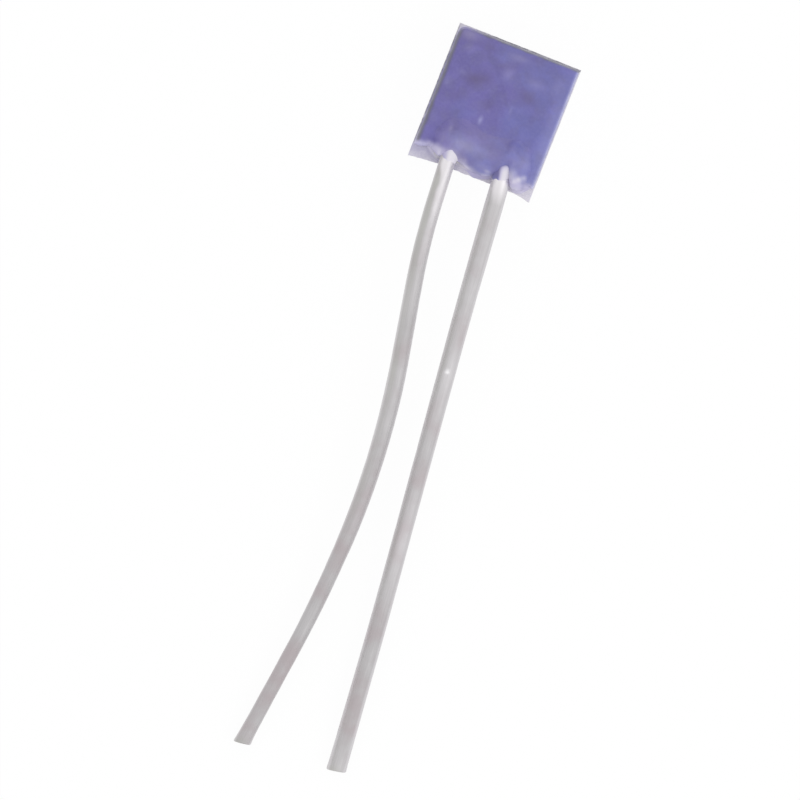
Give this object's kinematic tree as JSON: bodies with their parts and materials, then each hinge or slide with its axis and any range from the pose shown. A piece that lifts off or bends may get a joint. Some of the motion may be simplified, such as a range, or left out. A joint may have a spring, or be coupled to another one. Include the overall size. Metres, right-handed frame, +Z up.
{
  "type": "thin film rtd chip",
  "caption": "Platinum thin-film resistance thermometer chip: glazed ceramic plate with a fixing bead over the welds of its bent wire leads.",
  "frame": {"origin": "middle of the underside of the ceramic substrate", "axes": "+Z up out of the glazed face, -Y towards the tips of the leads, +X to the right lead's side"},
  "size_m": [0.0027, 0.0122, 0.0011],
  "materials": {
    "alumina": "matte",
    "platinum": "satin",
    "pad_metal": "satin",
    "cover_glaze": "satin",
    "bead_glaze": "gloss",
    "lead_wire": "satin"
  },
  "bodies": {
    "root": {"ceramic_substrate": "alumina", "platinum_film": "platinum", "left_pad": "pad_metal", "right_pad": "pad_metal", "cover_glass": "cover_glaze", "fixing_bead": "bead_glaze", "left_lead": "lead_wire", "right_lead": "lead_wire"}
  },
  "joints": []
}
